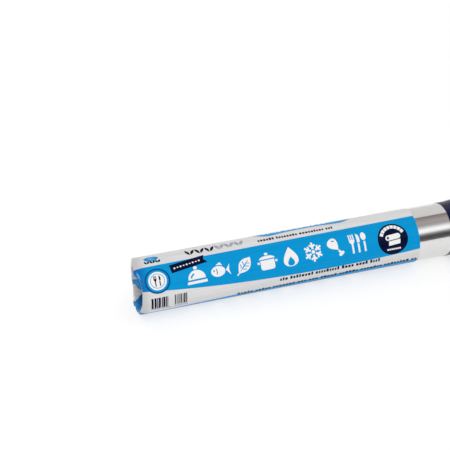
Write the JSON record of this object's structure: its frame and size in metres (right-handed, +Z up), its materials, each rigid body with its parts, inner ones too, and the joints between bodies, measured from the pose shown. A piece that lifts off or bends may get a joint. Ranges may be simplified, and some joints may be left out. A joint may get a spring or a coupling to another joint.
{
  "type": "aluminium foil roll",
  "caption": "Household roll of aluminium foil on a cardboard core, in a printed film wrapper whose ends are tucked into the bore.",
  "frame": {"origin": "on the table, under the middle of the pack, at the middle of the flat on which it lies", "axes": "+X along the roll, from the tight end to the loose one; -Y towards the printed front; +Z up"},
  "size_m": [0.3092, 0.0506, 0.0499],
  "materials": {
    "core_tube": "plain kraft board, wound in spiral plies",
    "foil_roll": "bright rolled foil",
    "film_wrapper": "glossy printed film in blue and white, clear near the right end and navy beyond"
  },
  "bodies": {
    "root": {"core_tube": "core_tube", "foil_roll": "foil_roll", "film_wrapper": "film_wrapper"}
  },
  "joints": []
}
